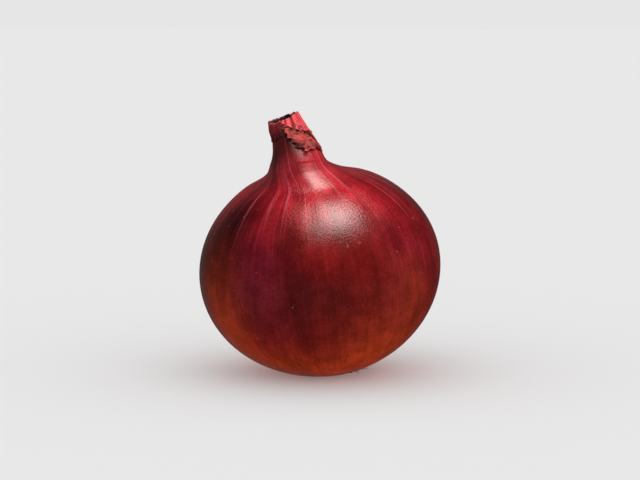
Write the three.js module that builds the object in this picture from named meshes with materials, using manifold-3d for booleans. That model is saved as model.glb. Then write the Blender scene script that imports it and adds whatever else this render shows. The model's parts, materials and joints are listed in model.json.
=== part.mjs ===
// A red onion, cured and trimmed: one grown piece. A broad bulb in its dry skin carries a leaning,
// cut-off neck with a torn collar of skin round it, and a small sunken root plate with clipped roots.
// Millimetres, +Z up, origin on the surface it rests on, under the middle of the bulb.
import * as THREE from "three";
import { mergeVertices } from "three/addons/utils/BufferGeometryUtils.js";
import Module from "manifold-3d";

const wasm = await Module();
wasm.setup();

// Bulb. Heights run along its own axis, from the widest level.
const BULB_RADIUS = 39.9;
const LOWER_HEIGHT = 35.5; // down to the root end
const UPPER_HEIGHT = 34.7; // up to where the shoulders would close
const LOBES = [
  { count: 2, share: 0.006, turn: 0.6 },
  { count: 3, share: 0.004, turn: 2.1 },
  { count: 5, share: 0.002, turn: 0.9 },
];

// Neck. It stands a little off the axis, sweeps up from the shoulders, leans over and is cut square.
const SHOULDER_RADIUS = 21; // where the shoulders start to sweep up
const FOOT_RISE = 8; // from the shoulders to the foot of the neck
const WAIST_RISE = 5.8; // from the foot up to the pull of the neck's hollow outline
const RIM_RADIUS = 4.7;
const NECK_LENGTH = 13.9;
// The sweep from the shoulders (pull) through the foot (radius, lift, flare out and down) to the waist:
// slim most of the way round, and fuller on one side.
const SLIM_NECK = { pull: 3.6, foot: 8.3, lift: 0, out: 1.5, down: 5.6, waist: 5.9 };
const FULL_NECK = { pull: 3.6, foot: 12.6, lift: 4.5, out: 2.4, down: 2.4, waist: 6.7 };
const FULL_SWING = THREE.MathUtils.degToRad(-80); // where the neck is fullest, about the axis
const FULL_FOCUS = 5; // how closely the fullness keeps to that side
const NECK_OFFSET = 3.3;
const NECK_LEAN = THREE.MathUtils.degToRad(12);
const NECK_SWING = THREE.MathUtils.degToRad(158); // the way the neck leans, about the axis
const BEND_DROP = 2; // the neck starts to bend this far below its foot
const BEND_LENGTH = 7;
const PLEATS = { count: 11, depth: 0.22, drift: 0.4 };

// The collar of torn skin round the top of the neck, and the hollow left by the dried leaves.
const COLLAR_THICKNESS = 0.55;
const COLLAR_LENGTH = 9.2; // from the rim down to the mean height of its ragged edge
const COLLAR_RAG = 3.2; // how far that edge rises and falls
const COLLAR_SWING = THREE.MathUtils.degToRad(-50); // where it hangs lowest, about the axis
const COLLAR_STEP = 0.7; // height over which the edge steps out
const RIM_WALL = 1.1;
const HOLLOW_DEPTH = 4.5;

// Root plate and the clipped roots on it.
const PLATE_RADIUS = 5.6;
const PLATE_DEPTH = 0.9; // how far the plate is sunk below the skin round it
const PLATE_LIP = 1.3; // width of the rounded lip between plate and skin
const ROOT_COUNT = 34;
const ROOT_LENGTH = 3.4;
const ROOT_RADIUS = 0.42;
const ROOT_SINK = 1; // length of each root inside the plate
const ROOT_SPLAY = 0.95; // outward lean of the outermost roots, against their drop
const ROOT_CLEARANCE = 0.3; // the roots are clipped this far above the resting surface
const ROOT_SIDES = 5;

// How it sits: the axis leans to the left and a little forward, on a small natural flat.
const LEAN_LEFT = THREE.MathUtils.degToRad(7.5);
const LEAN_FORWARD = THREE.MathUtils.degToRad(6);
const FLAT_DEPTH = 0.9;

const AROUND = 60;
const GOLDEN_ANGLE = Math.PI * (3 - Math.sqrt(5));

// Places along the half outline, as radius and height.
function arcHeight(radius, height) {
  return height * Math.sqrt(1 - (radius / BULB_RADIUS) ** 2);
}
const lip = new THREE.Vector2(PLATE_RADIUS + PLATE_LIP, 0);
lip.y = -arcHeight(lip.x, LOWER_HEIGHT);
const plateHeight = lip.y + PLATE_DEPTH;
const shoulder = new THREE.Vector2(SHOULDER_RADIUS, arcHeight(SHOULDER_RADIUS, UPPER_HEIGHT));
const foot = new THREE.Vector2(SLIM_NECK.foot, shoulder.y + FOOT_RISE);
const rim = new THREE.Vector2(RIM_RADIUS, foot.y + NECK_LENGTH);

// The half outline from the root plate, over the shoulder and the rim, down into the hollow.
function outline(shape) {
  const plate = new THREE.Path();
  plate.moveTo(0, plateHeight);
  plate.lineTo(PLATE_RADIUS, plateHeight);
  plate.quadraticCurveTo(PLATE_RADIUS + PLATE_LIP / 3, lip.y, lip.x, lip.y);

  const lipAngle = Math.acos(lip.x / BULB_RADIUS);
  const shoulderAngle = Math.acos(shoulder.x / BULB_RADIUS);
  const belly = new THREE.EllipseCurve(0, 0, BULB_RADIUS, LOWER_HEIGHT, -lipAngle, 0);
  const dome = new THREE.EllipseCurve(0, 0, BULB_RADIUS, UPPER_HEIGHT, 0, shoulderAngle);

  const shoulderSlope = (UPPER_HEIGHT / BULB_RADIUS) ** 2 * (shoulder.x / shoulder.y);
  const neck = new THREE.Path();
  const footHeight = foot.y + shape.lift;
  neck.moveTo(shoulder.x, shoulder.y);
  neck.bezierCurveTo(
    shoulder.x - shape.pull,
    shoulder.y + shape.pull * shoulderSlope,
    shape.foot + shape.out,
    footHeight - shape.down,
    shape.foot,
    footHeight,
  );
  neck.quadraticCurveTo(shape.waist, footHeight + WAIST_RISE, rim.x, rim.y);

  const inside = rim.x - RIM_WALL;
  const floor = rim.y - HOLLOW_DEPTH;
  const top = new THREE.Path();
  top.moveTo(rim.x, rim.y);
  top.quadraticCurveTo(rim.x - RIM_WALL / 2, rim.y + RIM_WALL, inside, rim.y);
  top.quadraticCurveTo(inside, floor, inside / 2, floor);
  top.lineTo(0, floor);

  const points = [
    ...plate.getPoints(3),
    ...belly.getPoints(13),
    ...dome.getPoints(10),
    ...neck.getPoints(9),
    ...top.getPoints(3),
  ];
  const apart = (p, i) => i === 0 || p.distanceTo(points[i - 1]) > 1e-6;
  return points.filter(apart).map((p) => new THREE.Vector2(Math.max(p.x, 0), p.y));
}

// How far the bulb swells or sinks at an angle about the axis, as a share of its radius.
function swell(angle) {
  return LOBES.reduce((sum, lobe) => sum + lobe.share * Math.cos(lobe.count * angle + lobe.turn), 0);
}

// Height of the collar's ragged lower edge at an angle about the axis.
function collarEdge(angle) {
  const sweep = Math.cos(angle - COLLAR_SWING);
  const rag = 0.8 * sweep + 0.12 * Math.sin(4 * angle) + 0.08 * Math.sin(9 * angle);
  return rim.y - COLLAR_LENGTH - COLLAR_RAG * rag;
}

// Sideways shift and tilt of the neck's own centreline at a height.
function bendAt(height) {
  const above = height - (foot.y - BEND_DROP);
  const bent = THREE.MathUtils.clamp(above / BEND_LENGTH, 0, 1);
  const run = Math.max(above - BEND_LENGTH, 0) + (BEND_LENGTH * bent ** 2) / 2;
  const offset = NECK_OFFSET * THREE.MathUtils.smoothstep(height, shoulder.y, foot.y);
  return { shift: offset + NECK_LEAN * run, tilt: NECK_LEAN * bent };
}

// Moves a point of the slim turned shape towards the full one, by how far it faces the full side.
function fillOut(point, slim, full) {
  const angle = Math.atan2(point.y, point.x);
  const share = ((1 + Math.cos(angle - FULL_SWING)) / 2) ** FULL_FOCUS;
  const widened = slim.x > 0 ? 1 + share * (full.x / slim.x - 1) : 1;
  point.x *= widened;
  point.y *= widened;
  point.z += share * (full.y - slim.y);
}

// Moves one point of the turned shape to where it has grown to: lobes, pleats, collar, then the bend.
function grow(point) {
  const radius = Math.hypot(point.x, point.y);
  const angle = Math.atan2(point.y, point.x);
  const height = point.z;
  const edge = collarEdge(angle);
  const onNeck = THREE.MathUtils.smoothstep(height, foot.y - SLIM_NECK.down, foot.y);
  const onCollar = THREE.MathUtils.smoothstep(height, edge, edge + COLLAR_STEP);
  const isOutside = radius > rim.x - RIM_WALL / 2;
  const pleat = PLEATS.depth * Math.cos(PLEATS.count * angle + PLEATS.drift * Math.sin(2 * angle));
  const added = isOutside ? onNeck * pleat + onCollar * COLLAR_THICKNESS : 0;
  const grown = radius * (1 + (1 - onNeck) * swell(angle)) + added;
  const share = radius > 0 ? grown / radius : 1;
  point.x *= share;
  point.y *= share;

  const { shift, tilt } = bendAt(height);
  const along = point.x * Math.cos(NECK_SWING) + point.y * Math.sin(NECK_SWING);
  const moved = shift + along * (Math.cos(tilt) - 1);
  point.x += moved * Math.cos(NECK_SWING);
  point.y += moved * Math.sin(NECK_SWING);
  point.z -= along * Math.sin(tilt);
}

function asSolid(geometry) {
  const bare = geometry.clone().deleteAttribute("normal").deleteAttribute("uv");
  const merged = mergeVertices(bare, 1e-4);
  return new wasm.Manifold(
    new wasm.Mesh({
      numProp: 3,
      vertProperties: merged.attributes.position.array,
      triVerts: new Uint32Array(merged.index.array),
    }),
  );
}

function asGeometry(solid) {
  const mesh = solid.getMesh();
  const geometry = new THREE.BufferGeometry();
  geometry.setAttribute("position", new THREE.BufferAttribute(mesh.vertProperties, 3));
  geometry.setIndex(new THREE.BufferAttribute(mesh.triVerts, 1));
  geometry.computeVertexNormals();
  return geometry;
}

// A slab under the given level, wide enough to clip anything off the onion's underside.
function slabBelow(level) {
  const size = 4 * BULB_RADIUS;
  const slab = new THREE.BoxGeometry(size, size, size);
  slab.translate(0, 0, level - size / 2);
  return asSolid(slab);
}

function bulbGeometry() {
  const slim = outline(SLIM_NECK);
  const full = outline(FULL_NECK);
  const geometry = new THREE.LatheGeometry(slim, AROUND);
  geometry.rotateX(Math.PI / 2);
  const position = geometry.getAttribute("position");
  const point = new THREE.Vector3();
  for (let i = 0; i < position.count; i++) {
    point.fromBufferAttribute(position, i);
    fillOut(point, slim[i % slim.length], full[i % full.length]);
    grow(point);
    position.setXYZ(i, point.x, point.y, point.z);
  }
  return geometry;
}

// One clipped root: a tapered peg from inside the plate, leaning out more the further out it grows.
function rootGeometry(index) {
  const out = Math.sqrt((index + 0.5) / ROOT_COUNT);
  const angle = index * GOLDEN_ANGLE;
  const outward = new THREE.Vector3(Math.cos(angle), Math.sin(angle), 0);
  const start = outward.clone().multiplyScalar((PLATE_RADIUS - ROOT_RADIUS) * out);
  start.z = plateHeight + ROOT_SINK;
  const direction = outward.clone().multiplyScalar(ROOT_SPLAY * out);
  direction.z = -1;
  const root = new THREE.CylinderGeometry(ROOT_RADIUS / 2, ROOT_RADIUS, ROOT_LENGTH, ROOT_SIDES);
  root.translate(0, ROOT_LENGTH / 2, 0);
  const up = new THREE.Vector3(0, 1, 0);
  root.applyQuaternion(new THREE.Quaternion().setFromUnitVectors(up, direction.normalize()));
  return root.translate(start.x, start.y, start.z);
}

// Sets the grown shape down as it rests: leaned over, with its lowest point just under the surface.
function restingPlace(geometry) {
  const place = new THREE.Matrix4().makeRotationX(LEAN_FORWARD);
  place.multiply(new THREE.Matrix4().makeRotationY(-LEAN_LEFT));
  const leaned = geometry.clone().applyMatrix4(place);
  const box = new THREE.Box3().setFromBufferAttribute(leaned.getAttribute("position"));
  const middle = box.getCenter(new THREE.Vector3());
  const set = new THREE.Matrix4();
  set.makeTranslation(-middle.x, -middle.y, -box.min.z - FLAT_DEPTH);
  return set.multiply(place);
}

function onionGeometry() {
  const bulb = bulbGeometry();
  const place = restingPlace(bulb);
  let solid = asSolid(bulb.applyMatrix4(place)).subtract(slabBelow(0));
  const ground = slabBelow(ROOT_CLEARANCE);
  for (let i = 0; i < ROOT_COUNT; i++) {
    const root = asSolid(rootGeometry(i).applyMatrix4(place));
    solid = solid.add(root.subtract(ground));
  }
  return asGeometry(solid);
}

const skin = new THREE.MeshStandardMaterial({ color: 0x6b1218, roughness: 0.4, metalness: 0 });
const onion = new THREE.Mesh(onionGeometry(), skin);
onion.name = "onion";

const group = new THREE.Group();
group.add(onion);

export default group;
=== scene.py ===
"""A cured red onion: its glossy dry skin, torn neck and clipped roots, built round the CAD frame.

Every piece is laid on one grown surface, worked out from the frame's size. A place on it is an
angle about the bulb's axis and a length up its skin, from the root end to the cut neck.
Lengths are in metres.
"""
import json
import math

import bpy
import numpy as np
from mathutils import Matrix, Vector

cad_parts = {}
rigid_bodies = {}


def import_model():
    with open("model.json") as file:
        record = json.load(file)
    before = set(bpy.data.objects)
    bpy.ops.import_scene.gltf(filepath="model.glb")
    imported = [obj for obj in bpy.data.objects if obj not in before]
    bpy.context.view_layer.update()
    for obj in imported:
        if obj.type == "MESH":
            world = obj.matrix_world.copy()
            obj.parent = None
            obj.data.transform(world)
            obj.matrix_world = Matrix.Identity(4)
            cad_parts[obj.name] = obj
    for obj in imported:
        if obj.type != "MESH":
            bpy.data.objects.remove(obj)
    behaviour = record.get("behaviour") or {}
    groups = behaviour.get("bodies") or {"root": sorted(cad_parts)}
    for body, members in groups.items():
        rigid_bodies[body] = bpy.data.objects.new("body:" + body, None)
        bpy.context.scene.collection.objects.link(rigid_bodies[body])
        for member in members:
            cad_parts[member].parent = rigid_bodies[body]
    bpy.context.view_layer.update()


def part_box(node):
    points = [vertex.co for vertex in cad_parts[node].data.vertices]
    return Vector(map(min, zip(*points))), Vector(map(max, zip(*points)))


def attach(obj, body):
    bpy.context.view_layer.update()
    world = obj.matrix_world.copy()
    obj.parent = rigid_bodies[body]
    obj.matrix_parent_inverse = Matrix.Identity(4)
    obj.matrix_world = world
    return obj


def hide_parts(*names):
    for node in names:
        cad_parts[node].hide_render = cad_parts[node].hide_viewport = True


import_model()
LOW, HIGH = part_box("onion")
DESIGN_WIDTH = 80.03
MM = (HIGH.x - LOW.x) / DESIGN_WIDTH  # one design millimetre

# ---------------------------------------------------------------- the grown surface

BULB_RADIUS = 39.9 * MM
LOWER_HEIGHT = 35.5 * MM
UPPER_HEIGHT = 34.7 * MM
SHOULDER_RADIUS = 21 * MM
FOOT_RISE = 8.0 * MM
WAIST_RISE = 5.8 * MM
RIM_RADIUS = 4.7 * MM
NECK_LENGTH = 13.9 * MM
# the sweep up into the neck in design millimetres, most of the way round and on its fullest side
SLIM_NECK = {"pull": 3.6, "foot": 8.3, "lift": 0, "out": 1.5, "down": 5.6, "waist": 5.9}
FULL_NECK = {"pull": 3.6, "foot": 12.6, "lift": 4.5, "out": 2.4, "down": 2.4, "waist": 6.7}
FULL_SWING = math.radians(-80)
FULL_FOCUS = 5  # how closely the fullness keeps to that side
RIM_WALL = 0.9 * MM
HOLLOW_DEPTH = 4.5 * MM
PLATE_RADIUS = 5.6 * MM
PLATE_LIP = 1.3 * MM
PLATE_DEPTH = 0.9 * MM

NECK_OFFSET = 3.3 * MM
NECK_LEAN = math.radians(12)
NECK_SWING = math.radians(158)
BEND_DROP = 2 * MM
BEND_LENGTH = 7 * MM
LEAN_LEFT = math.radians(7.5)
LEAN_FORWARD = math.radians(6)
FLAT_DEPTH = 0.9 * MM

LOBES = ((2, 0.006, 0.6), (3, 0.004, 2.1), (5, 0.002, 0.9))  # count, share of the radius, turn

# points along each stretch of an outline, and how many are smoothed each way from a join
LOWER_STEPS = 400
UPPER_STEPS = 300
SWEEP_STEPS = 150
NECK_STEPS = 150
SHOULDER_EASING = 61
FOOT_EASING = 31
PAST_RIM = 3 * MM  # how far an outline runs on past the rim, for slopes and torn skin there


def smooth(low, high, value):
    t = np.clip((value - low) / (high - low), 0, 1)
    return t * t * (3 - 2 * t)


def arc_height(radius, height):
    return height * math.sqrt(1 - (radius / BULB_RADIUS) ** 2)


LIP_RADIUS = PLATE_RADIUS + PLATE_LIP
LIP_HEIGHT = -arc_height(LIP_RADIUS, LOWER_HEIGHT)
SHOULDER_HEIGHT = arc_height(SHOULDER_RADIUS, UPPER_HEIGHT)
FOOT_HEIGHT = SHOULDER_HEIGHT + FOOT_RISE
RIM_HEIGHT = FOOT_HEIGHT + NECK_LENGTH
HOLLOW_FLOOR = RIM_HEIGHT - HOLLOW_DEPTH
PLATE_HEIGHT = LIP_HEIGHT + PLATE_DEPTH


def bezier(points, count):
    """Points on a Bezier curve of any degree, without its last one."""
    points = np.array(points, float)
    t = np.linspace(0, 1, count, endpoint=False)[:, None]
    degree = len(points) - 1
    weights = [math.comb(degree, i) * t**i * (1 - t) ** (degree - i) for i in range(degree + 1)]
    return sum(w * p for w, p in zip(weights, points))


def ellipse(height, start, end, count):
    t = np.linspace(start, end, count, endpoint=False)
    return np.column_stack([BULB_RADIUS * np.cos(t), height * np.sin(t)])


def eased(points, middle, reach):
    """Points on a curve, smoothed near the middle one: fully within the reach, not past twice it."""
    kernel = np.hanning(reach)
    kernel /= kernel.sum()
    soft = np.column_stack([np.convolve(points[:, i], kernel, "same") for i in (0, 1)])
    near = 1 - smooth(reach, 2 * reach, np.abs(np.arange(len(points)) - middle))
    return points + near[:, None] * (soft - points)


def outline(shape):
    """Radius and height of the outer skin, from the root end's lip up to the rim and on past it."""
    pull, foot, lift, out, down, waist = (value * MM for value in shape.values())
    lip_angle = math.acos(LIP_RADIUS / BULB_RADIUS)
    shoulder_angle = math.acos(SHOULDER_RADIUS / BULB_RADIUS)
    slope = (UPPER_HEIGHT / BULB_RADIUS) ** 2 * SHOULDER_RADIUS / SHOULDER_HEIGHT
    foot_height = FOOT_HEIGHT + lift
    sweep = [
        (SHOULDER_RADIUS, SHOULDER_HEIGHT),
        (SHOULDER_RADIUS - pull, SHOULDER_HEIGHT + pull * slope),
        (foot + out, foot_height - down),
        (foot, foot_height),
    ]
    neck = [(foot, foot_height), (waist, foot_height + WAIST_RISE), (RIM_RADIUS, RIM_HEIGHT)]
    points = np.vstack([
        ellipse(LOWER_HEIGHT, -lip_angle, 0, LOWER_STEPS),
        ellipse(UPPER_HEIGHT, 0, shoulder_angle, UPPER_STEPS),
        bezier(sweep, SWEEP_STEPS),
        bezier(neck, NECK_STEPS),
        [(RIM_RADIUS, RIM_HEIGHT), (RIM_RADIUS, RIM_HEIGHT + PAST_RIM)],
    ])
    shoulder_point = LOWER_STEPS + UPPER_STEPS
    foot_point = shoulder_point + SWEEP_STEPS
    points = eased(points, shoulder_point, SHOULDER_EASING)
    return eased(points, foot_point, FOOT_EASING)


def run_of(points):
    """Length up the skin to each point of an outline."""
    return np.concatenate([[0], np.cumsum(np.hypot(*np.diff(points, axis=0).T))])


SLIM = outline(SLIM_NECK)
FULL = outline(FULL_NECK)
RUN = run_of(SLIM)
FULL_RUN = run_of(FULL)
SKIN_LENGTH = RUN[-2]
WIDEST_RUN = np.interp(0, SLIM[:, 1], RUN)
FOOT_RUN = np.interp(FOOT_HEIGHT, SLIM[:, 1], RUN)


def profile(run, angle):
    """Radius and height of the skin: the slim outline, blended into the full one on its side."""
    share = ((1 + np.cos(angle - FULL_SWING)) / 2) ** FULL_FOCUS
    longer = (FULL_RUN[-2] - SKIN_LENGTH) * smooth(WIDEST_RUN, FOOT_RUN, run)
    slim = [np.interp(run, RUN, SLIM[:, i]) for i in (0, 1)]
    full = [np.interp(run + longer, FULL_RUN, FULL[:, i]) for i in (0, 1)]
    return tuple(s + share * (f - s) for s, f in zip(slim, full))


def bend_at(height):
    """Sideways shift and tilt of the neck's centreline at a height."""
    above = height - (FOOT_HEIGHT - BEND_DROP)
    bent = np.clip(above / BEND_LENGTH, 0, 1)
    run = np.maximum(above - BEND_LENGTH, 0) + BEND_LENGTH * bent**2 / 2
    offset = NECK_OFFSET * smooth(SHOULDER_HEIGHT, FOOT_HEIGHT, height)
    return offset + NECK_LEAN * run, NECK_LEAN * bent


def grow(radius, angle, height):
    """Points of the grown shape, standing on its own axis: lobes on the bulb, a bend in the neck."""
    on_neck = smooth(FOOT_HEIGHT - SLIM_NECK["down"] * MM, FOOT_HEIGHT, height)
    swell = sum(share * np.cos(count * angle + turn) for count, share, turn in LOBES)
    radius = radius * (1 + (1 - on_neck) * swell)
    x = radius * np.cos(angle)
    y = radius * np.sin(angle)
    shift, tilt = bend_at(height)
    along = x * math.cos(NECK_SWING) + y * math.sin(NECK_SWING)
    moved = shift + along * (np.cos(tilt) - 1)
    x = x + moved * math.cos(NECK_SWING)
    y = y + moved * math.sin(NECK_SWING)
    return np.stack([x, y, height - along * np.sin(tilt)], axis=-1)


def find_place():
    """The turn and shift that set the onion down: leaned over, on a small flat, in the frame's box."""
    turn = np.array(Matrix.Rotation(LEAN_FORWARD, 3, "X") @ Matrix.Rotation(-LEAN_LEFT, 3, "Y"))
    angle, row = np.meshgrid(np.linspace(0, math.tau, 720), np.arange(len(SLIM)))
    points = grow(SLIM[row, 0], angle, SLIM[row, 1]).reshape(-1, 3) @ turn.T
    low, high = points.min(0), points.max(0)
    middle = (LOW + HIGH) / 2
    return turn, np.array([
        middle.x - (low[0] + high[0]) / 2,
        middle.y - (low[1] + high[1]) / 2,
        LOW.z - FLAT_DEPTH - low[2],
    ])


TURN, SHIFT = find_place()


def set_down(points):
    return points @ TURN.T + SHIFT


def skin_at(run, angle, lift=0.0):
    """Points at a length up the skin and an angle about the axis, lifted off it squarely."""
    radius, height = profile(run, angle)
    step = 0.4 * MM
    above, below = profile(run + step, angle), profile(run - step, angle)
    dr, dh = above[0] - below[0], above[1] - below[1]
    size = np.hypot(dr, dh)
    return set_down(grow(radius + lift * dh / size, angle, height - lift * dr / size))


# ---------------------------------------------------------------- noise and mesh helpers


def waves(seed, count, low, high, *coords):
    """A smooth random field, about -1 to 1: seeded waves with low to high turns in one unit."""
    rng = np.random.default_rng(seed)
    total = 0
    for _ in range(count):
        direction = rng.normal(size=len(coords))
        direction *= rng.uniform(low, high) * math.tau / np.linalg.norm(direction)
        phase = sum(d * c for d, c in zip(direction, coords))
        total = total + np.cos(phase + rng.uniform(0, math.tau))
    return total / math.sqrt(count)


def new_piece(name, vertices, faces, material, slot, **attributes):
    """A mesh object with smooth faces and one float or vector attribute for each named array."""
    mesh = bpy.data.meshes.new(name)
    mesh.from_pydata(np.asarray(vertices).reshape(-1, 3).tolist(), [], faces)
    mesh.polygons.foreach_set("use_smooth", [True] * len(mesh.polygons))
    for key, values in attributes.items():
        values = np.asarray(values, np.float32)
        kind, field = ("FLOAT_VECTOR", "vector") if values.ndim > 1 else ("FLOAT", "value")
        mesh.attributes.new(key, kind, "POINT").data.foreach_set(field, values.ravel())
    mesh.materials.append(material)
    mesh.update()
    piece = bpy.data.objects.new(name, mesh)
    bpy.context.scene.collection.objects.link(piece)
    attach(piece, "root")
    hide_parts("onion")
    return piece


def quads_of(index):
    """Quads between the neighbours in a grid of vertex numbers, facing out when rows go up."""
    corners = [index[:-1, :-1], index[:-1, 1:], index[1:, 1:], index[1:, :-1]]
    return np.stack(corners, axis=-1).reshape(-1, 4)


def ring_index(rows, columns):
    """Vertex numbers of a grid that closes round on itself: each row ends with its first number."""
    index = np.arange(rows * columns).reshape(rows, columns)
    return np.concatenate([index, index[:, :1]], axis=1)


def shell(outer, thickness, closed=False):
    """A thin sheet as a closed body: the grid's own points are its outer face."""
    rows, columns = outer.shape[:2]
    if closed:
        along = np.roll(outer, -1, axis=1) - np.roll(outer, 1, axis=1)
    else:
        along = np.gradient(outer, axis=1)
    normal = np.cross(along, np.gradient(outer, axis=0))
    normal /= np.linalg.norm(normal, axis=-1, keepdims=True)
    inner = outer - normal * np.broadcast_to(thickness, outer.shape[:2])[..., None]
    size = rows * columns
    index = ring_index(rows, columns) if closed else np.arange(size).reshape(rows, columns)
    quads = quads_of(index)
    faces = quads.tolist() + (quads[:, ::-1] + size).tolist()
    edges = [index[0], index[-1][::-1]]
    if not closed:
        edges += [index[::-1, 0], index[:, -1]]
    for edge in edges:
        for a, b in zip(edge[:-1].tolist(), edge[1:].tolist()):
            faces.append([b, a, a + size, b + size])
    return np.concatenate([outer.reshape(-1, 3), inner.reshape(-1, 3)]), faces


def tube(path, radii, sides=5):
    """A tapered tube along a path, with flat ends."""
    forward = np.gradient(path, axis=0)
    side = np.cross(forward, (0.3, 0.9, 0.1))
    side /= np.linalg.norm(side, axis=-1, keepdims=True)
    up = np.cross(forward, side)
    up /= np.linalg.norm(up, axis=-1, keepdims=True)
    turn = np.linspace(0, math.tau, sides, endpoint=False)[:, None]
    spokes = np.cos(turn) * side[:, None] + np.sin(turn) * up[:, None]
    rings = path[:, None] + radii[:, None, None] * spokes
    index = ring_index(len(path), sides)
    ends = [index[0, :-1][::-1].tolist(), index[-1, :-1].tolist()]
    return rings.reshape(-1, 3), quads_of(index).tolist() + ends


def joined(bodies):
    """The vertices and faces of several bodies as one list of each."""
    vertices, faces = [], []
    for points, polygons in bodies:
        start = sum(len(v) for v in vertices)
        vertices.append(points)
        faces += [[index + start for index in polygon] for polygon in polygons]
    return np.concatenate(vertices), faces


# ---------------------------------------------------------------- materials


class Shader:
    """A material's node tree, written as calls: an input that is a socket is linked, any other is set."""

    def __init__(self, name):
        self.material = bpy.data.materials.new(name)
        self.material.use_nodes = True
        self.tree = self.material.node_tree
        self.surface = self.tree.nodes["Principled BSDF"]

    def set(self, socket, value):
        if isinstance(value, bpy.types.NodeSocket):
            self.tree.links.new(value, socket)
        elif socket.type == "RGBA":
            socket.default_value = (*value, 1)
        else:
            socket.default_value = value

    def fill(self, node, inputs):
        for key, value in inputs.items():
            name = key.replace("_", " ")
            socket = next(s for s in node.inputs if s.enabled and s.name.lower() == name)
            self.set(socket, value)

    def add(self, kind, settings=None, **inputs):
        node = self.tree.nodes.new("ShaderNode" + kind)
        for key, value in (settings or {}).items():
            setattr(node, key, value)
        self.fill(node, inputs)
        return node

    def vector(self, name):
        return self.add("Attribute", {"attribute_name": name}).outputs["Vector"]

    def value(self, name):
        return self.add("Attribute", {"attribute_name": name}).outputs["Fac"]

    def noise(self, vector, scale, detail=2.0, roughness=0.5):
        """Noise at a scale, or at one scale for each axis."""
        if isinstance(scale, tuple):
            stretched = self.add("VectorMath", {"operation": "MULTIPLY"})
            self.set(stretched.inputs[0], vector)
            self.set(stretched.inputs[1], scale)
            vector, scale = stretched.outputs[0], 1.0
        node = self.add("TexNoise", vector=vector, scale=scale, detail=detail, roughness=roughness)
        return node.outputs["Fac"]

    def ramp(self, value, low, high, to_low=0.0, to_high=1.0):
        node = self.add(
            "MapRange", {"interpolation_type": "SMOOTHSTEP"},
            value=value, from_min=low, from_max=high, to_min=to_low, to_max=to_high,
        )
        return node.outputs[0]

    def math(self, operation, a, b):
        node = self.add("Math", {"operation": operation})
        self.set(node.inputs[0], a)
        self.set(node.inputs[1], b)
        return node.outputs[0]

    def mix(self, factor, a, b, blend="MIX"):
        node = self.add("Mix", {"data_type": "RGBA", "blend_type": blend})
        self.set(node.inputs[0], factor)
        self.set(node.inputs[6], a)
        self.set(node.inputs[7], b)
        return node.outputs[2]

    def times(self, colour, factor):
        """A colour made lighter or darker by a factor."""
        node = self.add("VectorMath", {"operation": "SCALE"})
        self.set(node.inputs[0], colour)
        self.set(node.inputs["Scale"], factor)
        return node.outputs[0]

    def bump(self, height, distance, normal=None):
        node = self.add("Bump", height=height, distance=distance, strength=1.0)
        if normal is not None:
            self.set(node.inputs["Normal"], normal)
        return node.outputs[0]

    def finish(self, **inputs):
        self.fill(self.surface, inputs)
        return self.material


def red_skin():
    """Glossy papery skin: pigment by place, partly painted light and shade, lengthwise veins and streaks,
    mottling, grain and specks.
    """
    s = Shader("red_skin")
    flow = s.vector("flow")
    tone = s.vector("tone")
    pale = s.value("pale")
    dry = s.value("dry")
    place = s.add("TexCoord").outputs["Object"]

    streaks = s.noise(flow, (9, 9, 0.6), detail=3, roughness=0.6)
    fine = s.noise(flow, (42, 42, 1.2), detail=3, roughness=0.6)
    veins = s.noise(flow, (10, 10, 0.10), detail=1, roughness=0.4)
    vein_strength = s.ramp(s.noise(flow, (7, 7, 0.5), detail=2), 0.38, 0.66)
    mottle = s.noise(place, 150, detail=4, roughness=0.62)
    grain = s.noise(place, 1700, detail=2, roughness=0.6)

    colour = s.times(tone, s.ramp(streaks, 0.32, 0.70, 1.12, 0.86))
    shoulder = s.math("MULTIPLY", s.ramp(streaks, 0.38, 0.62, 0.0, 0.3), pale)
    colour = s.times(colour, s.math("SUBTRACT", 1.0, shoulder))
    colour = s.times(colour, s.ramp(fine, 0.30, 0.72, 1.12, 0.87))
    colour = s.times(colour, s.ramp(mottle, 0.32, 0.70, 0.80, 1.20))
    line = s.ramp(s.math("ABSOLUTE", s.math("SUBTRACT", veins, 0.5), 0.0), 0.0, 0.036, 1.0, 0.0)
    line = s.math("MULTIPLY", line, vein_strength)
    colour = s.mix(s.math("MULTIPLY", line, pale), colour, (0.66, 0.10, 0.14))
    specks = s.ramp(s.noise(place, 620, detail=1), 0.74, 0.80)
    colour = s.mix(s.math("MULTIPLY", specks, 0.5), colour, (0.50, 0.13, 0.10))
    colour = s.times(colour, s.ramp(grain, 0.25, 0.75, 0.80, 1.20))

    normal = s.bump(fine, 0.00003)
    crackle = s.noise(place, 1300, detail=3, roughness=0.65)
    normal = s.bump(crackle, 0.00009, normal)
    roughness = s.math("ADD", s.ramp(mottle, 0.3, 0.7, 0.20, 0.27), s.math("MULTIPLY", dry, 0.13))
    return s.finish(base_color=colour, roughness=roughness, specular_ior_level=0.25, normal=normal)


def dry_neck():
    """Torn dry skin: paler along its fibres, blotched, matte."""
    s = Shader("dry_neck")
    flow = s.vector("flow")
    tone = s.vector("tone")
    place = s.add("TexCoord").outputs["Object"]
    fibres = s.noise(flow, (16, 16, 1.5), detail=4, roughness=0.65)
    blotch = s.noise(place, 500, detail=3, roughness=0.6)
    colour = s.times(tone, s.ramp(fibres, 0.32, 0.70, 1.35, 0.60))
    colour = s.times(colour, s.ramp(blotch, 0.30, 0.72, 0.75, 1.25))
    normal = s.bump(fibres, 0.00025)
    normal = s.bump(s.noise(place, 1500, detail=3), 0.0001, normal)
    roughness = s.ramp(blotch, 0.3, 0.7, 0.5, 0.7)
    return s.finish(base_color=colour, roughness=roughness, specular_ior_level=0.15, normal=normal)


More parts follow.
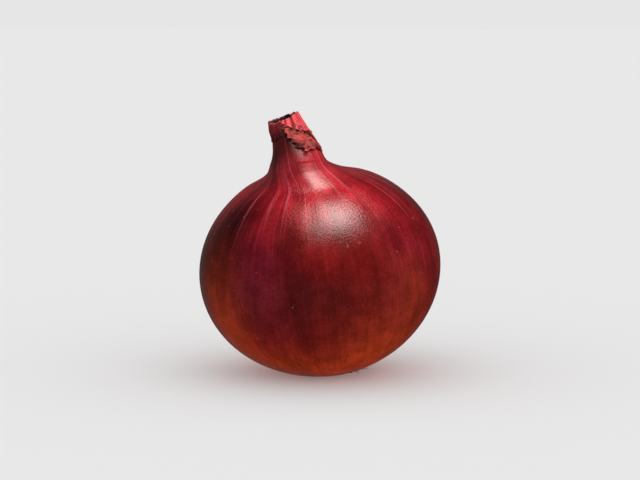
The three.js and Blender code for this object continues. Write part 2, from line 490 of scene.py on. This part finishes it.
def root_material():
    """Dry straw-brown root."""
    s = Shader("root_fibre")
    place = s.add("TexCoord").outputs["Object"]
    blotch = s.noise(place, 600, detail=4, roughness=0.6)
    colour = s.mix(s.ramp(blotch, 0.3, 0.7), (0.16, 0.07, 0.03), (0.48, 0.30, 0.16))
    normal = s.bump(s.noise(place, 2500, detail=2), 0.0001)
    return s.finish(base_color=colour, roughness=s.ramp(blotch, 0.3, 0.7, 0.6, 0.8), normal=normal)


RED_SKIN = red_skin()
DRY_NECK = dry_neck()
ROOT = root_material()

# ---------------------------------------------------------------- the bulb and neck

AROUND = 360
BULB_ROWS = 150
UPPER_ROWS = 95
FLOW_LENGTH = 20 * MM  # length up the skin that counts as one unit of its flow coordinate


def flow_of(run, angle):
    """Coordinates that run with the fibres of the skin: two go round it, and one up it."""
    return np.stack([np.cos(angle), np.sin(angle), run / FLOW_LENGTH], axis=-1)


def facing(angle, middle, half):
    """1 where an angle faces the middle one, in degrees, easing to 0 half that many degrees away."""
    gap = np.abs(np.angle(np.exp(1j * (angle - math.radians(middle)))))
    return 1 - smooth(0.5 * math.radians(half), math.radians(half), gap)


def relief(run, angle):
    """How far the skin stands off the grown shape.

    It has soft dents on the bulb, ribs, pleats in the neck and a crease across the front of its foot.
    """
    c, s = np.cos(angle), np.sin(angle)
    up = run / BULB_RADIUS
    dents = 0.16 * MM * waves(11, 9, 0.25, 0.8, c, s, up)
    near_neck = smooth(WIDEST_RUN, FOOT_RUN, run)
    ribs = (0.02 + 0.06 * near_neck) * MM * waves(12, 10, 3.5, 7, c, s, 0.15 * up)
    on_neck = smooth(FOOT_RUN - 4 * MM, FOOT_RUN + 2 * MM, run)
    pleats = 0.15 * MM * on_neck * waves(13, 8, 1.6, 3.2, c, s, 0.3 * up)
    depth = SKIN_LENGTH - run
    slant = 0.4 * np.cos(angle - math.radians(250))
    ledge = (16.9 + slant + 0.25 * waves(14, 6, 0.6, 1.5, c, s)) * MM
    above = 1 - smooth(ledge - 0.25 * MM, ledge + 0.1 * MM, depth)
    crease = 0.13 * MM * facing(angle, 276, 44) * above * smooth(ledge - 4 * MM, ledge, depth)
    return dents * (1 - on_neck) + ribs + pleats + crease


# the skin's pigments, and two painted shades: the dark under the collar and the dark down in the cut neck
PIGMENTS_AND_SHADES = {
    "rust": (0.60, 0.060, 0.0085),
    "blood": (0.195, 0.0068, 0.0058),
    "crimson": (0.50, 0.0120, 0.021),
    "garnet": (0.120, 0.0060, 0.0085),
    "plum": (0.036, 0.0033, 0.0060),
    "violet": (0.185, 0.0085, 0.024),
    "olive": (0.095, 0.0090, 0.0040),
    "rose": (0.46, 0.030, 0.042),
    "umber": (0.25, 0.022, 0.020),
    "collar_shadow": (0.080, 0.0035, 0.005),
    "pith": (0.62, 0.11, 0.12),
    "hollow_shade": (0.040, 0.006, 0.013),
}
# patches of other colour: name, angle about the axis, share of the way up the skin, spread, strength; most
# are the skin's own pigment, and the marked ones are partly painted light and shade
PATCHES = (
    ("plum", 213, 0.63, 0.42, 0.96),
    # partly painted light: a glow from the light at the left, over crimson pigment
    ("crimson", 240, 0.60, 0.14, 0.75),
    # partly painted reflection of the light at the left, over violet pigment
    ("violet", 240, 0.50, 0.26, 0.8),
    # painted bounce light: warm light thrown onto the left edge from beside the onion
    ("olive", 203, 0.51, 0.27, 0.85),
    ("plum", 262, 0.44, 0.20, 0.45),
    ("plum", 278, 0.43, 0.12, 0.35),
    ("garnet", 352, 0.69, 0.55, 1.0),
    ("crimson", 272, 0.55, 0.16, 0.25),
    ("crimson", 322, 0.60, 0.20, 0.2),
    ("violet", 318, 0.48, 0.30, 0.5),
    ("rust", 300, 0.22, 0.35, 0.6),
    # partly painted bounce light: warm light on the lower left, over the rust of the root end
    ("rust", 215, 0.37, 0.25, 0.6),
    ("rust", 318, 0.36, 0.25, 0.25),
    # partly painted shade: below the dark side of the collar, over darker pigment
    ("plum", 225, 0.88, 0.35, 0.45),
    ("plum", 40, 0.50, 0.40, 0.5),
    ("plum", 120, 0.45, 0.45, 0.5),
    ("crimson", 80, 0.62, 0.35, 0.5),
    ("rust", 150, 0.30, 0.35, 0.4),
)


def tinted(tone, name, share):
    """A tone taken a share of the way to one of the listed pigments and painted shades."""
    return tone + (np.array(PIGMENTS_AND_SHADES[name]) - tone) * share


def tone_of(run, angle):
    """The skin's colour: its own pigment, with painted light in some places and painted shade under the
    collar.

    It is rust at the root end, blood red round the bulb, crimson and rose above, and umber up the neck.
    """
    share = run / SKIN_LENGTH
    wander = 0.03 * waves(21, 8, 0.6, 1.8, np.cos(angle), np.sin(angle), 2 * share)
    level = (share + wander)[..., None]
    tone = tinted(np.array(PIGMENTS_AND_SHADES["rust"]), "blood", smooth(0.12, 0.36, level))
    tone = tinted(tone, "crimson", smooth(0.58, 0.75, level))
    tone = tinted(tone, "rose", 0.4 * smooth(0.76, 0.84, level))
    tone = tinted(tone, "umber", 0.6 * smooth(0.86, 0.91, level))
    for name, at, up, spread, strength in PATCHES:
        gap = np.angle(np.exp(1j * (angle - math.radians(at))))
        away = np.hypot(gap, 2.2 * (share + wander - up))
        tone = tinted(tone, name, strength * np.exp(-((away / spread) ** 2))[..., None])
    depth = (SKIN_LENGTH - run) / MM
    # painted shade: the neck darkened under the collar, most on its left and front
    shaded_below_collar = facing(angle, 240, 66) * smooth(4, 7, depth) * (1 - smooth(11.5, 18, depth))
    return tinted(tone, "collar_shadow", 0.85 * shaded_below_collar[..., None])


def rim_dip(angle):
    """How far the cut edge of the neck is torn down at an angle."""
    return 0.9 * MM * facing(angle, 262, 75)


def lip_outline():
    """Radius and height from the edge of the root plate out over the lip round it."""
    return bezier([
        (PLATE_RADIUS, PLATE_HEIGHT),
        (PLATE_RADIUS + PLATE_LIP / 3, LIP_HEIGHT),
        (LIP_RADIUS, LIP_HEIGHT),
    ], 5)


def rim_outline():
    """Radius and height from the top of the outer skin over the cut edge and down into the hollow."""
    inside = RIM_RADIUS - RIM_WALL / 2
    crest = (RIM_RADIUS - RIM_WALL / 4, RIM_HEIGHT + RIM_WALL / 4)
    over = [(RIM_RADIUS, RIM_HEIGHT), crest, (inside, RIM_HEIGHT)]
    down = [(inside, RIM_HEIGHT), (inside, HOLLOW_FLOOR), (0.6 * inside, HOLLOW_FLOOR)]
    return np.vstack([bezier(over, 6), bezier(down, 9)])


def skin_runs(dip):
    """Lengths up the skin of its rows; the upper ones are closer and sink with the rim's dip."""
    start = FOOT_RUN - 6 * MM
    runs = np.concatenate([
        np.linspace(0, start, BULB_ROWS, endpoint=False),
        np.linspace(start, SKIN_LENGTH, UPPER_ROWS, endpoint=False),
    ])[:, None]
    return runs - np.maximum(0, runs - start) * dip / (SKIN_LENGTH - start)


def fanned(rows):
    """Faces of a grid of rows round the axis, with a fan to one more vertex at each end of it."""
    index = ring_index(rows, AROUND)
    pole = rows * AROUND
    root_end = [[pole, b, a] for a, b in zip(index[0, :-1].tolist(), index[0, 1:].tolist())]
    top_end = [[pole + 1, a, b] for a, b in zip(index[-1, :-1].tolist(), index[-1, 1:].tolist())]
    return quads_of(index).tolist() + root_end + top_end


def skin_paint(run, turn, into_hollow):
    """Pigment, strength of the pale veins, and dryness, over rows that end with the rim and hollow; the
    hollow is painted dark as shade.
    """
    rim_rows = len(into_hollow)
    share = run / SKIN_LENGTH
    tone = tone_of(run, turn)
    # painted shade: the pale cut edge darkens down into the hollow
    tone[-rim_rows:] = tinted(np.array(PIGMENTS_AND_SHADES["pith"]), "hollow_shade", smooth(0.2, 0.42, into_hollow)[..., None])
    pale = 0.75 * smooth(0.54, 0.80, share) * (1 - 0.7 * smooth(0.86, 0.90, share))
    pale[-rim_rows:] = 0
    return tone, pale, smooth(0.78, 0.85, share)


def onion_skin():
    """The bulb's skin as one closed body: root end, bulb, neck, over the rim and into its hollow."""
    lip, rim = lip_outline(), rim_outline()
    angle = np.linspace(0, math.tau, AROUND, endpoint=False)
    dip = rim_dip(angle)
    skin_run = skin_runs(dip)
    lip_run = np.zeros((len(lip), AROUND))
    rim_run = np.full((len(rim), AROUND), SKIN_LENGTH)
    run = np.concatenate([lip_run, skin_run, rim_run])
    turn = np.broadcast_to(angle, run.shape)

    low = grow(lip[:, :1] + relief(lip_run, angle), angle, lip[:, 1:] + lip_run)
    skin_turn = np.broadcast_to(angle, skin_run.shape)
    outer = skin_at(skin_run, skin_turn, relief(skin_run, skin_turn))
    fade = np.linspace(1, 0, len(rim))[:, None]
    wander = 0.25 * MM * waves(15, 8, 1, 4, np.cos(angle), np.sin(angle))
    ragged = wander * np.sin(np.pi * fade) - dip * np.minimum(1, 1.7 * fade)
    radius = rim[:, :1] + relief(rim_run, angle) * fade
    high = grow(radius, angle, rim[:, 1:] + ragged)
    grid = np.concatenate([set_down(low), outer, set_down(high)])
    grid[..., 2] = np.maximum(grid[..., 2], LOW.z)
    poles = set_down(grow(np.zeros(2), np.zeros(2), np.array([PLATE_HEIGHT, HOLLOW_FLOOR])))
    vertices = np.concatenate([grid.reshape(-1, 3), poles])

    tone, pale, dry = skin_paint(run, turn, 1 - fade)
    return new_piece(
        "onion_skin", vertices, fanned(len(grid)), RED_SKIN, "red_skin",
        flow=np.concatenate([flow_of(run, turn).reshape(-1, 3), np.zeros((2, 3))]),
        tone=np.concatenate([tone.reshape(-1, 3), [PIGMENTS_AND_SHADES["umber"], PIGMENTS_AND_SHADES["hollow_shade"]]]),
        pale=np.concatenate([pale.ravel(), [0, 0]]),
        dry=np.concatenate([dry.ravel(), [1, 1]]),
    )


# ---------------------------------------------------------------- torn skin round the neck

PAPER = 0.22 * MM  # thickness of one dry skin
LEAST_LIFT = 0.26 * MM  # keeps the inner face of a sheet off the neck
LEAF = 0.16 * MM  # thickness of one dried leaf
FOLDS = ((15, 0.4), (22, 2.0), (31, 4.4))  # how many in a whole turn, and where they start


def rag(seed, angle, size):
    """A torn edge's wander at an angle: wide swings with smaller and smaller teeth on them."""
    c, s = np.cos(angle), np.sin(angle)
    swings = waves(seed, 6, 0.8, 2.5, c, s)
    notches = waves(seed + 1000, 8, 3, 7, c, s)
    teeth = waves(seed + 2000, 8, 9, 20, c, s)
    return size * (swings + 0.5 * notches + 0.2 * teeth)


def creased(seed, count, low, high, x, y):
    """Straight creases that cross at random, as in crumpled paper, about -1 to 1."""
    rng = np.random.default_rng(seed)
    total = 0
    for _ in range(count):
        turn = rng.uniform(0, math.pi)
        t = rng.uniform(low, high) * (x * math.cos(turn) + y * math.sin(turn)) + rng.uniform()
        total = total + 4 * np.abs(t - np.round(t)) - 1
    return total / math.sqrt(count)


def sheet(columns, rows):
    """Shares across and up a sheet, rows going up."""
    return np.meshgrid(np.linspace(0, 1, columns), np.linspace(0, 1, rows))


def flap(name, angle, depth, lift, tone, edges):
    """A sheet of dry skin over the neck, at a depth below the rim, with torn edges of a paler tone and an
    inner face painted darker as shade.
    """
    run = SKIN_LENGTH - depth
    outer = skin_at(run, angle, relief(np.minimum(run, SKIN_LENGTH), angle) + lift)
    vertices, faces = shell(outer, PAPER)
    tone = tinted(tone, "pith", edges[..., None]).reshape(-1, 3)
    return new_piece(
        name, vertices, faces, DRY_NECK, "dry_neck",
        flow=np.tile(flow_of(run, angle).reshape(-1, 3), (2, 1)),
        # painted shade: the inner face, towards the neck, is the tone darkened to a third
        tone=np.concatenate([tone, 0.3 * tone]),
    )


def edge_glow(across, up, width_across, width_up, strength):
    """How pale a sheet is near its lower, upper and side edges."""
    side = 1 - smooth(0, width_across, np.minimum(across, 1 - across))
    end = 1 - smooth(0, width_up, np.minimum(up, 1 - up))
    return strength * np.maximum(side, end)


def blended(low, high, share):
    return np.array(low) + (np.array(high) - np.array(low)) * share[..., None]


def smooth_flap():
    """The dark side of the collar: a close, smooth sheet whose lower edge stands off the neck; its dark
    tone is partly painted shade.
    """
    across, up = sheet(220, 60)
    start, end = 95, 272
    angle = np.radians(start + (end - start) * across)
    hang = 6.4 + 1.4 * smooth(math.radians(200), math.radians(100), angle)
    edge = hang * MM + rag(31, angle, 0.25 * MM)
    top = rim_dip(angle) - 0.1 * MM + rag(32, angle, 0.08 * MM)
    depth = edge + (top - edge) * up
    near_rim = smooth(1.6 * MM, 0, depth - rim_dip(angle))
    tucked = smooth(1, 0.9, across) * smooth(0, 0.06, across)
    ripple = 0.06 * MM * waves(33, 8, 1.5, 4, np.cos(angle), np.sin(angle), depth / (8 * MM))
    swell = np.sin(math.pi * np.minimum(1, 0.08 + 1.1 * (1 - up)))
    lift = (0.30 + 0.40 * swell + 0.10 * near_rim) * MM * (0.4 + 0.6 * tucked) + ripple
    lift = np.maximum(lift, LEAST_LIFT)
    # painted shade: the sheet is dark, and darker still towards its lower edge
    tone = blended((0.11, 0.0050, 0.0060), (0.26, 0.011, 0.013), smooth(0.1, 0.9, up))
    return flap("collar_smooth", angle, depth, lift, tone, 0.8 * smooth(0.5 * MM, 0.1 * MM, depth - top))


def folds_at(angle, depth):
    """Lengthwise folds of the drawn-in skin, about -1 to 1, drifting a little on the way down."""
    drift = 0.25 * depth / (8 * MM)
    return sum(np.cos(count * (angle + drift) + start) for count, start in FOLDS) / 2


def folded_flap():
    """The bright side of the collar: drawn into lengthwise folds, torn away along a slant at its left; its
    bright tone, lighter on the ridges of the folds and darker between them, is partly painted light and
    shade.
    """
    across, up = sheet(260, 80)
    left = np.radians(308 - 52 * up) + 0.03 * waves(41, 8, 1, 6, 2 * up)
    angle = left + (math.radians(435) - left) * across
    edge = (7.4 + 0.8 * across) * MM + rag(42, angle, 0.35 * MM)
    top = rim_dip(angle) - 0.15 * MM + rag(43, angle, 0.12 * MM)
    depth = edge + (top - edge) * up
    folds = folds_at(angle, depth)
    loose = smooth(0.25, 0, up) + 0.8 * smooth(0.05, 0, across)
    lift = (0.60 + 0.20 * folds + 0.25 * loose) * MM
    # painted light and shade: pale on the ridges of the folds, dark between them
    tone = blended((0.45, 0.019, 0.027), (0.95, 0.100, 0.108), smooth(-0.9, 0.7, folds))
    return flap("collar_folded", angle, depth, lift, tone, edge_glow(across, up, 0.012, 0.05, 0.6))


def crumpled_flap():
    """The torn end of the collar under the folded part: creased like paper and toothed along its edge, with
    painted shade in the hollows of the creases and painted light on their ridges.
    """
    across, up = sheet(300, 150)
    left = np.radians(262 + 25 * (1 - up) ** 1.4) + 0.05 * waves(51, 10, 0.5, 4, 2 * up)
    angle = left + (math.radians(398) - left) * across
    shorter = 1.4 * smooth(math.radians(350), math.radians(395), angle)
    hang = 10.6 + 3.8 * facing(angle, 303, 60) - shorter
    edge = hang * MM + rag(52, angle, 0.4 * MM)
    top = (1.8 + 3.2 * smooth(math.radians(265), math.radians(330), angle)) * MM
    depth = edge + (top - edge) * up
    around, down = angle * 7, depth / MM  # design millimetres, at the neck's radius of about 7
    x = around + 0.5 * waves(55, 6, 0.10, 0.30, around, down)
    y = down + 0.5 * waves(56, 6, 0.10, 0.30, around, down)
    crumple = 0.45 * creased(53, 5, 0.15, 0.28, 0.8 * x, y) + 0.38 * creased(54, 7, 0.40, 0.90, x, y)
    at_left = smooth(math.radians(345), math.radians(310), angle)
    loose = (smooth(0.25, 0, up) + smooth(0.08, 0, across)) * at_left
    below_top = smooth(0, 0.3, down - (top / MM + 0.2))
    puff = 0.15 + 0.25 * at_left + (0.30 + 0.45 * at_left) * crumple
    lift = (0.30 + below_top * puff + 0.30 * loose) * MM
    tuck = 0.35 * MM * smooth(0.2, 0, up) * (1 - at_left)
    lift = np.maximum(lift, LEAST_LIFT) - tuck
    # painted shade and light: near black in the hollows of the creases, pale on their ridges
    tone = blended((0.060, 0.0040, 0.0045), (0.46, 0.054, 0.046), smooth(-0.55, 0.45, crumple))
    return flap("collar_crumpled", angle, depth, lift, tone, edge_glow(across, up, 0.012, 0.03, 0.5))


def neck_layers():
    """The dried leaves inside the cut neck: thin ragged rings, one within another, painted dark down in the
    hollow as shade.
    """
    angle = np.linspace(0, math.tau, 120, endpoint=False)
    c, s = np.cos(angle), np.sin(angle)
    up = np.linspace(0, 1, 24)[:, None]
    bodies = []
    tones = []
    for number, share in enumerate((0.80, 0.58, 0.36, 0.18)):
        rim = RIM_HEIGHT - (1.5 + 0.3 * number) * MM + rag(61 + number, angle, 0.22 * MM)
        height = HOLLOW_FLOOR + (rim - HOLLOW_FLOOR) * up
        bent = 0.14 * np.cos(2 * angle + number) + 0.07 * waves(71 + number, 7, 0.6, 2.5, c, s, up)
        radius = (RIM_RADIUS - RIM_WALL) * share * (1 + bent) + 0.12 * MM * up**4
        grid = set_down(grow(radius, angle + 0 * up, height))
        bodies.append(shell(grid, LEAF, closed=True))
        # painted shade: the leaves are dark down in the hollow and paler at their tops
        tone = blended(PIGMENTS_AND_SHADES["hollow_shade"], (0.16, 0.02, 0.04), smooth(0.8, 1.0, up + 0 * angle))
        tones.append(np.tile(tone.reshape(-1, 3), (2, 1)))
    vertices, faces = joined(bodies)
    tone = np.concatenate(tones)
    flow = np.tile(flow_of(0 * angle, angle), (len(vertices) // len(angle), 1))
    return new_piece("neck_layers", vertices, faces, DRY_NECK, "dry_neck", flow=flow, tone=tone)


# ---------------------------------------------------------------- root end

FIBRES = 170
GOLDEN_TURN = math.pi * (3 - math.sqrt(5))  # spaces the fibres evenly over the plate


def root_plate():
    """The corky disc that the roots grow from, ringed with old root scars."""
    angle = np.linspace(0, math.tau, 120, endpoint=False)
    radius = np.linspace(0.1 * MM, PLATE_RADIUS, 40)[:, None]
    rings = 0.10 * MM * np.cos(math.tau * radius / (1.1 * MM))
    lumps = 0.18 * MM * waves(81, 12, 250, 700, radius * np.cos(angle), radius * np.sin(angle))
    height = PLATE_HEIGHT - 0.35 * MM + rings + lumps + 0 * angle
    grid = set_down(grow(radius + 0 * angle, angle + 0 * radius, height))
    grid[..., 2] = np.maximum(grid[..., 2], LOW.z + 0.05 * MM)
    vertices, faces = shell(grid, 0.6 * MM, closed=True)
    return new_piece("root_plate", vertices, faces, ROOT, "roots")


def root_fibres():
    """Clipped dry roots: curly tapered threads that splay out of the plate and lie on the surface."""
    rng = np.random.default_rng(91)
    bodies = []
    for number in range(FIBRES):
        out = math.sqrt((number + 0.5) / FIBRES)
        angle = number * GOLDEN_TURN
        t = np.linspace(0, 1, 9)
        length = rng.uniform(2.2, 5.0) * MM
        outward = 0.95 * out * length * t * (1 + 0.5 * t)
        radius = (PLATE_RADIUS - 0.4 * MM) * out + outward
        curl = 0.10 * out * np.sin(rng.uniform(4, 9) * t + rng.uniform(0, math.tau))
        height = PLATE_HEIGHT + 0.3 * MM - length * t * (1 - 0.35 * t)
        path = set_down(grow(radius, angle + curl, height))
        radii = rng.uniform(0.14, 0.26) * MM * (1 - 0.6 * t)
        path[:, 2] = np.maximum(path[:, 2], LOW.z + radii * 1.1)
        path[:, :2] += np.outer(np.maximum(0, t - 0.4) * 0.8 * MM, rng.normal(size=2))
        bodies.append(tube(path, radii))
    vertices, faces = joined(bodies)
    return new_piece("root_fibres", vertices, faces, ROOT, "roots")


onion_skin()
smooth_flap()
crumpled_flap()
folded_flap()
neck_layers()
root_plate()
root_fibres()

# ---------------------------------------------------------------- light, floor and camera

CENTRE = Vector((0, 0, SHIFT[2]))
CAMERA_RISE = math.radians(7)
CAMERA_DISTANCE = 0.592
AIM_RISE = 9.3 * MM
BACKDROP = 0.791
AMBIENT = 0.40


def area_light(name, toward, distance, size, power, colour=(1, 1, 1)):
    data = bpy.data.lights.new(name, "AREA")
    data.shape = "SQUARE"
    data.size = size
    data.energy = power
    data.color = colour
    light = bpy.data.objects.new(name, data)
    bpy.context.scene.collection.objects.link(light)
    direction = Vector(toward).normalized()
    light.location = CENTRE + direction * distance
    light.rotation_euler = direction.to_track_quat("Z", "Y").to_euler()
    return light


# size, power and direction of each panel that shows in the gloss
PANELS = (
    (0.12, 0.50, (0.18, -0.25, 0.95)),
    (0.22, 1.3, (0.13, -0.29, 0.95)),
    (0.34, 2.8, (0.09, -0.33, 0.94)),
)
PANEL_COLOUR = (1, 0.98, 0.93)


def softbox():
    """The light seen in the skin's gloss, brightest in its middle: panels one in front of another."""
    lights = []
    for number, (size, power, toward) in enumerate(PANELS):
        distance = 0.5 - 0.005 * number
        panel = area_light(f"panel_{number}", toward, distance, size, power, PANEL_COLOUR)
        panel.visible_diffuse = False
        lights.append(panel)
    return lights


def key_light():
    """The light that models the onion's colour, kept out of its gloss."""
    light = area_light("key", (0.36, -0.15, 0.92), distance=0.5, size=0.4, power=2.6)
    light.visible_glossy = False
    return light


def floor_sheet():
    """A pale floor that glows a little and isn't mirrored in the skin."""
    half = 30.0
    corners = [(-half, -half, 0), (half, -half, 0), (half, half, 0), (-half, half, 0)]
    mesh = bpy.data.meshes.new("floor")
    mesh.from_pydata(corners, [], [(0, 1, 2, 3)])
    shader = Shader("floor")
    mesh.materials.append(shader.finish(
        base_color=(0.8, 0.8, 0.8), roughness=0.9, specular_ior_level=0.0,
        emission_color=(1.0, 0.985, 0.98), emission_strength=0.15,
    ))
    piece = bpy.data.objects.new("floor", mesh)
    bpy.context.scene.collection.objects.link(piece)
    piece.location.z = LOW.z
    piece.visible_glossy = False
    return piece


def link_lights(floor, studio, floor_light):
    """The studio lights fall on the onion, and the even overhead light on the floor."""
    onion_side = bpy.data.collections.new("lit_by_studio")
    for piece in bpy.context.scene.objects:
        if piece.type == "MESH" and piece is not floor:
            onion_side.objects.link(piece)
    floor_side = bpy.data.collections.new("lit_from_above")
    floor_side.objects.link(floor)
    for light in studio:
        light.light_linking.receiver_collection = onion_side
    floor_light.light_linking.receiver_collection = floor_side


def reflected_glow(tree, dim, glow):
    """How bright a studio the reflections see: dim, with a glow behind the onion and to its left."""
    direction = tree.nodes.new("ShaderNodeTexCoord").outputs["Generated"]
    parts = tree.nodes.new("ShaderNodeSeparateXYZ")
    tree.links.new(direction, parts.inputs[0])
    aslant = tree.nodes.new("ShaderNodeMath")
    aslant.operation = "MULTIPLY_ADD"
    aslant.inputs[1].default_value = -0.25
    tree.links.new(parts.outputs["X"], aslant.inputs[0])
    tree.links.new(parts.outputs["Y"], aslant.inputs[2])
    behind = tree.nodes.new("ShaderNodeMapRange")
    behind.interpolation_type = "SMOOTHSTEP"
    for key, value in (("From Min", 0.6), ("From Max", 1.1), ("To Min", dim), ("To Max", glow)):
        behind.inputs[key].default_value = value
    tree.links.new(aslant.outputs[0], behind.inputs["Value"])
    return behind.outputs[0]


def mixed(tree, factor, first, second):
    """The first shader where the factor is 0, and the second where it is 1."""
    node = tree.nodes.new("ShaderNodeMixShader")
    for number, source in enumerate((factor, first, second)):
        tree.links.new(source, node.inputs[number])
    return node.outputs[0]


def sky(backdrop, ambient, dim, glow):
    """A pale backdrop, an even ambient light, and a dim studio that only reflections see."""
    world = bpy.data.worlds.new("studio")
    bpy.context.scene.world = world
    world.use_nodes = True
    world.cycles.sampling_method = "NONE"
    tree = world.node_tree
    seen = tree.nodes["Background"]
    seen.inputs["Color"].default_value = (backdrop, backdrop, backdrop, 1)
    even = tree.nodes.new("ShaderNodeBackground")
    even.inputs["Strength"].default_value = ambient
    mirrored = tree.nodes.new("ShaderNodeBackground")
    tree.links.new(reflected_glow(tree, dim, glow), mirrored.inputs["Strength"])
    ray = tree.nodes.new("ShaderNodeLightPath")
    unseen = mixed(tree, ray.outputs["Is Glossy Ray"], even.outputs[0], mirrored.outputs[0])
    final = mixed(tree, ray.outputs["Is Camera Ray"], unseen, seen.outputs[0])
    tree.links.new(final, tree.nodes["World Output"].inputs["Surface"])


def camera():
    """A long lens a little above level, at the front."""
    data = bpy.data.cameras.new("camera")
    data.lens = 100
    data.sensor_width = 36
    eye = bpy.data.objects.new("camera", data)
    bpy.context.scene.collection.objects.link(eye)
    up = Vector((0, math.sin(CAMERA_RISE), math.cos(CAMERA_RISE)))
    forward = Vector((0, math.cos(CAMERA_RISE), -math.sin(CAMERA_RISE)))
    eye.location = CENTRE + up * AIM_RISE - forward * CAMERA_DISTANCE
    eye.rotation_euler = forward.to_track_quat("-Z", "Y").to_euler()
    bpy.context.scene.camera = eye


def studio():
    floor = floor_sheet()
    lights = [key_light(), *softbox()]
    overhead = bpy.data.objects.new("overhead", bpy.data.lights.new("overhead", "SUN"))
    overhead.data.energy = 1.74
    overhead.data.angle = math.radians(150)
    overhead.rotation_euler.x = math.radians(25)
    bpy.context.scene.collection.objects.link(overhead)
    link_lights(floor, lights, overhead)
    sky(BACKDROP, AMBIENT, dim=0.02, glow=0.14)
    camera()
    bpy.context.scene.view_settings.view_transform = "Standard"


studio()
